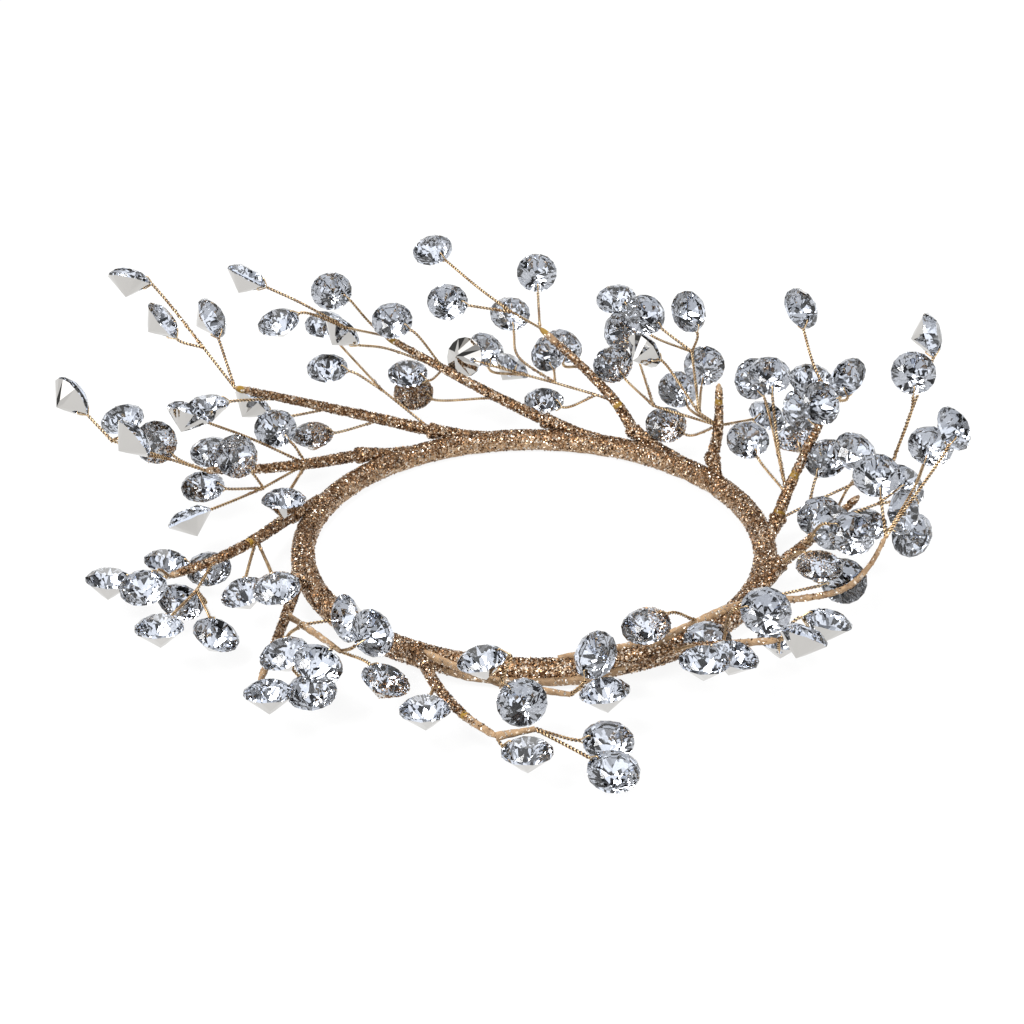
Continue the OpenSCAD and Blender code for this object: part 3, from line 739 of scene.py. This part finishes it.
def dress_wires(key, sprig):
    """All wires of a sprig as one piece, and its taped forks as another. Returns how many surfaces."""
    parts, wraps = [], []
    points = stem_line(sprig) + [f[1] for f in sprig[2]]
    for source, point in sprig[2]:
        path = smooth_path(to_world(sprig[0], [points[source], point]), 0.3)
        if key in TAPED:
            share = np.linspace(0, 1, len(path))
            taper = TAPED[key] * (1.05 - 0.4 * share)
            wraps.append(rough_tube(path, taper, 10, np.random.default_rng(len(wraps))))
        else:
            parts += twisted(path)
    if wraps:
        fork, quads, ends = joined(wraps)
        wrapped = mesh_object(f"fork_tape_{key}", fork, quads, ends, materials=[tape],
                              values={"bare": np.full(len(fork), BARE_ROOT), "gold": np.zeros(len(fork))})
        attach(wrapped, f"sprig_{key}"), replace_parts(wrapped, f"wires_{key}"), wrapped
    for gem in sprig[3]:
        parts += twisted(wire_route(sprig, gem))
        parts.append(hole_loop(sprig, gem))
    # The strands' painted shade goes onto the mesh as a point attribute
    wires = mesh_object(f"twisted_wires_{key}", *joined([p for p, _ in parts]), materials=[copper],
                        values={"painted_strand_shade": np.concatenate([g for _, g in parts])})
    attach(wires, f"sprig_{key}"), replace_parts(wires, f"wires_{key}"), wires
    return len(parts)


for key, sprig in SPRIGS.items():
    print(f"wires {key}: {dress_wires(key, sprig)} strands and loops")

# %% [markdown]
# A brilliant cut has an eight-sided table, eight star facets, eight kites and sixteen narrow facets down to
# the girdle, and below it eight long facets to the point with sixteen halves between them. All its corners
# but the point lie on five rings, so the stone is worked out from angles and heights, drilled with a
# Boolean, and then copied as an array into every place. Three versions have the hole at different facets,
# as real drilling has.

# %% One cut stone
def brilliant(turn):
    """Corners on rings: table, star points, girdle above and below, lower points, and the culet. The star
    points lie in the plane of the kites: height = table's - slope x (their radius x cos 22.5 - table's)."""
    up, big, small = GIRDLE_T / 2, GEM_D / 2, TABLE_D / 2
    wide, between = np.arange(8) * 45.0, np.arange(8) * 45.0 + 22.5
    tight = np.cos(np.radians(22.5))
    star_r, low_r = 4.5, 1.7
    star_z = up + CROWN_H - (star_r * tight - small) * CROWN_H / (big - small)
    low_z = -up - POINT_H + low_r * tight * POINT_H / big

    def circle(r, degrees, z):
        a = np.radians(degrees + turn)
        return np.stack([r * np.cos(a), r * np.sin(a), np.broadcast_to(z, a.shape)], 1)

    edge = np.arange(16) * 22.5
    wave = np.where(np.arange(16) % 2, 0.16, 0.0)
    points = np.vstack([circle(small, wide, up + CROWN_H), circle(star_r, between, star_z),
                        circle(big, edge, up - wave), circle(big, edge, -up + wave),
                        circle(low_r, between, low_z), [[0, 0, -up - POINT_H]]])
    T, S, G, H, L, C = 0, 8, 16, 32, 48, 56
    faces = [tuple(range(8))]
    for i in range(8):
        k, g, g1, g2 = (i + 1) % 8, 2 * i, 2 * i + 1, (2 * i + 2) % 16
        faces += [(T + k, T + i, S + i), (T + i, S + (i - 1) % 8, G + g, S + i), (S + i, G + g, G + g1),
                  (S + i, G + g1, G + g2), (L + i, H + g1, H + g), (L + i, H + g2, H + g1),
                  (C, L + i, H + g, L + (i - 1) % 8)]
    for i in range(16):
        faces.append((G + i, H + i, H + (i + 1) % 16, G + (i + 1) % 16))
    return points, faces


def drilled(turn):
    """The stone less a round hole, as arrays of corners, faces and whether each face is coated."""
    points, faces = brilliant(turn)
    stone = bpy.data.meshes.new("stone")
    stone.from_pydata((points * MM).tolist(), [], faces)
    body = bpy.data.objects.new("stone", stone)
    bore_path = np.array([[GEM_D / 2 - HOLE_IN, 0, z] for z in (8.0, 4.0, 0.0, -4.0, -8.0)])
    bore = mesh_object("bore", *sweep(bore_path, HOLE_D / 2, 12, np.array([0, 1.0, 0])), smooth=False)
    bpy.context.scene.collection.objects.link(body)
    cut = body.modifiers.new("hole", "BOOLEAN")
    cut.object, cut.operation, cut.solver = bore, "DIFFERENCE", "EXACT"
    made = body.evaluated_get(bpy.context.evaluated_depsgraph_get()).to_mesh()
    corners = np.array([v.co for v in made.vertices]) / MM
    cells = [tuple(p.vertices) for p in made.polygons]
    normals = np.array([p.normal for p in made.polygons])
    centres = np.array([p.center for p in made.polygons]) / MM
    coated = (normals[:, 2] < -0.3) & (centres[:, 2] < 0)
    for o in (body, bore):
        bpy.data.objects.remove(o)
    return corners, cells, coated


STONES = [drilled(turn) for turn in (0, 9, 18)]
corners, cells, coated = STONES[0]
print("a stone has", len(corners), "corners and", len(cells), "faces,", int(coated.sum()), "coated")


# %% Gems on their wires
def dress_gems(key, sprig, rng):
    """All stones of a sprig: centre + x, y and z of the cut stone's corners along its own three
    directions."""
    corners, faces, coats = [], [], []
    shift = 0
    for gem in sprig[3]:
        centre, x, y, n = gem_frame(sprig, gem)
        points, cells, coated = STONES[rng.integers(3)]
        corners.append(centre + points @ np.array([x, y, n]))
        faces += [tuple(v + shift for v in c) for c in cells]
        coats.append(coated)
        shift += len(points)
    mesh = bpy.data.meshes.new(f"cut_gems_{key}")
    mesh.from_pydata((np.vstack(corners) * MM).tolist(), [], faces)
    mesh.materials.append(crown)
    mesh.materials.append(back)
    mesh.polygons.foreach_set("material_index", np.concatenate(coats).astype(np.int32))
    gems = bpy.data.objects.new(f"cut_gems_{key}", mesh)
    bpy.context.scene.collection.objects.link(gems)
    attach(gems, f"sprig_{key}"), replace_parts(gems, f"gems_{key}"), gems


for key, sprig in SPRIGS.items():
    dress_gems(key, sprig, np.random.default_rng(300 + int(key)))
print("gem pieces", len(SPRIGS))

# %% [markdown]
# The glue ran on from the stems, so the first part of most wires carries glitter too, and a few stones lay
# in it.

# %% Glitter on wires and stones
# Sprig, gem and the share of the stone that is crusted, from its hole on, or from the far side if below 0
CRUSTED = {("02", 7): 1.0, ("01", 6): 0.5, ("11", 9): 0.2, ("04", 9): 0.4, ("06", 7): 0.4, ("05", 8): 0.35,
           ("10", 7): -0.3, ("08", 1): 0.3, ("04", 5): 0.25, ("04", 3): 0.25, ("12", 2): 0.3, ("12", 5): 0.3}


def crust(sprig, gem, share, rng):
    """Crumbs on the faces of one stone. The height of its surface falls evenly from table to rim, and from
    point to rim below. Crumbs at the rim lie anywhere on its edge."""
    centre, x, y, n = gem_frame(sprig, gem)
    count = int(1000 + 1900 * share ** 2)
    rim = GEM_D / 2
    r = rim * np.sqrt(rng.random(count))
    a = rng.uniform(0, TURN, count)
    above = rng.random(count) < 0.45
    crown_at = np.minimum((rim - r) * CROWN_H / (rim - TABLE_D / 2), CROWN_H)
    height = GIRDLE_T / 2 + np.where(above, crown_at, (rim - r) * POINT_H / rim)
    height = np.where(r > 0.96 * rim, height * rng.random(count), height)
    along = r * np.cos(a) * np.sign(share) / GEM_D + 0.5
    stays = along + 0.08 * rng.normal(size=count) > 1 - abs(share)
    side = np.where(above, 1.0, -1.0)
    at = centre + (r * np.cos(a))[:, None] * x + (r * np.sin(a))[:, None] * y + (side * height)[:, None] * n
    normal = unit(0.6 * np.cos(a)[:, None] * x + 0.6 * np.sin(a)[:, None] * y + side[:, None] * n)
    return at[stays], normal[stays]


# Radius of the twisted pair that the crumbs lie on, and crumbs for each millimetre of it
PAIR_R, WIRE_CRUMBS = 0.42, 7


def dress_spill(key, sprig, rng):
    """Crumbs along the start of each wire, thinning evenly to none at `reach`, and on the crusted stones."""
    places = []
    for number, gem in enumerate(sprig[3], 1):
        path = wire_route(sprig, gem)
        reach = rng.uniform(0.15, 0.55)
        places.append(on_tube(path, PAIR_R, int(arc_length(path)[-1] * WIRE_CRUMBS), rng,
                              keep=lambda u, angle: np.clip(1.1 * (1 - u / reach), 0, 1)))
        if (key, number) in CRUSTED:
            places.append(crust(sprig, gem, CRUSTED[key, number], rng))
    at, normal = (np.vstack(v) for v in zip(*places))
    points, triangles, tone = crumbs(at, normal, SPILT_CRUMB, rng)
    spill = mesh_object(f"spilt_glitter_{key}", points, (), triangles, False, {"tone": tone}, [flakes])
    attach(spill, f"sprig_{key}"), spill
    return len(at)


for key, sprig in SPRIGS.items():
    print(f"spilt crumbs {key}: {dress_spill(key, sprig, np.random.default_rng(500 + int(key)))}")

# %% [markdown]
# The studio is a white floor, a surround of light and dim panels, and three softboxes overhead. The panels
# matter: cut stones only sparkle when they have something dark to show beside something bright.

# %% Camera
# Degrees above the table, distance in millimetres, and the focal length and frame width in pixels
CAMERA_UP, CAMERA_AWAY, FOCAL, FRAME = 28.9, 535.0, 2080.0, 1024.0
TARGET = np.array([-5.7, 0.0, 12.3])
rise = np.radians(CAMERA_UP)
camera_data = bpy.data.cameras.new("camera")
camera_data.sensor_width = 36.0
camera_data.lens = FOCAL / FRAME * camera_data.sensor_width
camera_data.clip_start, camera_data.clip_end = 0.01, 20.0
camera = bpy.data.objects.new("camera", camera_data)
camera.location = (TARGET + CAMERA_AWAY * np.array([0, -np.cos(rise), np.sin(rise)])) * MM
camera.rotation_euler = (np.pi / 2 - rise, 0, 0)
bpy.context.scene.collection.objects.link(camera)
bpy.context.scene.camera = camera
print("camera at", [round(v, 3) for v in camera.location], "lens", round(camera_data.lens, 1))


# %% Floor
def see_through_share(tree):
    """1 for rays from the camera, off metal or through glass, and 0 for the rest."""
    path = add(tree, "ShaderNodeLightPath")
    total = add(tree, "ShaderNodeMath", {"operation": "MAXIMUM"}, i0=path.outputs["Is Camera Ray"],
                i1=path.outputs["Is Glossy Ray"])
    return add(tree, "ShaderNodeMath", {"operation": "MAXIMUM"}, i0=total.outputs[0],
               i1=path.outputs["Is Transmission Ray"]).outputs[0]


m, tree, out = new_material("white_studio_floor")
paint = add(tree, "ShaderNodeBsdfDiffuse", {"Color": (0.85, 0.85, 0.85, 1)})
glow = add(tree, "ShaderNodeEmission", {"Color": (1, 1, 1, 1), "Strength": 1.0})
share = add(tree, "ShaderNodeMath", {"operation": "MULTIPLY", 1: 0.9}, i0=see_through_share(tree))
mix = add(tree, "ShaderNodeMixShader", i0=share.outputs[0], i1=paint.outputs[0], i2=glow.outputs[0])
tree.links.new(mix.outputs[0], out.inputs[0])
# Half the floor's width, and its height, just under the ring so that the two faces don't fight
FLOOR, UNDER = 3000.0, -0.05
corners = [(-FLOOR, -FLOOR, UNDER), (FLOOR, -FLOOR, UNDER), (FLOOR, FLOOR, UNDER), (-FLOOR, FLOOR, UNDER)]
floor = mesh_object("floor", corners, [(0, 1, 2, 3)], materials=[m])
print("floor laid")

# %% Surround and softboxes
# The camera sees white. Metal and stones see the panels, and matt surfaces get one even level.
world = bpy.data.worlds.new("studio")
bpy.context.scene.world = world
world.use_nodes = True
tree = world.node_tree
tree.nodes.clear()
to_camera = add(tree, "ShaderNodeLightPath").outputs["Is Camera Ray"]
seen = add(tree, "ShaderNodeTexCoord").outputs["Generated"]
height = add(tree, "ShaderNodeSeparateXYZ", i0=seen).outputs["Z"]
ceiling = add(tree, "ShaderNodeMapRange",
              {"interpolation_type": "SMOOTHSTEP", "From Min": 0.0, "From Max": 0.85, "To Min": 1.0,
               "To Max": 0.85}, Value=height).outputs[0]
panels = add(tree, "ShaderNodeTexVoronoi", {"Scale": 2.8}, Vector=seen)
panels = add(tree, "ShaderNodeSeparateColor", i0=panels.outputs["Color"]).outputs["Red"]
panels = add(tree, "ShaderNodeMapRange",
             {"interpolation_type": "SMOOTHSTEP", "From Min": 0.08, "From Max": 0.88, "To Min": 0.09,
              "To Max": 2.25}, Value=panels).outputs[0]
room = add(tree, "ShaderNodeMath", {"operation": "MULTIPLY"}, i0=ceiling, i1=panels).outputs[0]
white = add(tree, "ShaderNodeMix", {"data_type": "FLOAT", 3: 1.0}, i0=to_camera, i2=room).outputs[0]
level = add(tree, "ShaderNodeMix", {"data_type": "FLOAT", 2: 0.55}, i0=see_through_share(tree), i3=white)
light = add(tree, "ShaderNodeBackground", {"Color": (1, 1, 1, 1)}, Strength=level.outputs[0])
add(tree, "ShaderNodeOutputWorld", i0=light.outputs[0])
# Name, place and width in millimetres, and watts. Only the key light shows as a gleam in metal and stones
SOFTBOXES = {"key": ((-450, -350, 750), 420, 9.0), "fill": ((550, -300, 600), 300, 4.0),
             "rim": ((100, 600, 650), 360, 6.0)}
for name, (spot, size, power) in SOFTBOXES.items():
    lamp = bpy.data.lights.new(name, "AREA")
    lamp.shape, lamp.size, lamp.energy = "SQUARE", size * MM, power
    holder = bpy.data.objects.new(name, lamp)
    holder.location = np.array(spot) * MM
    holder.visible_glossy = holder.visible_transmission = name == "key"
    towards = -unit(np.array(spot, float))
    holder.rotation_euler = (np.arccos(-towards[2]), 0, np.arctan2(towards[1], towards[0]) - np.pi / 2)
    bpy.context.scene.collection.objects.link(holder)
bpy.context.scene.view_settings.view_transform = "Standard"
print("softboxes", len(SOFTBOXES))
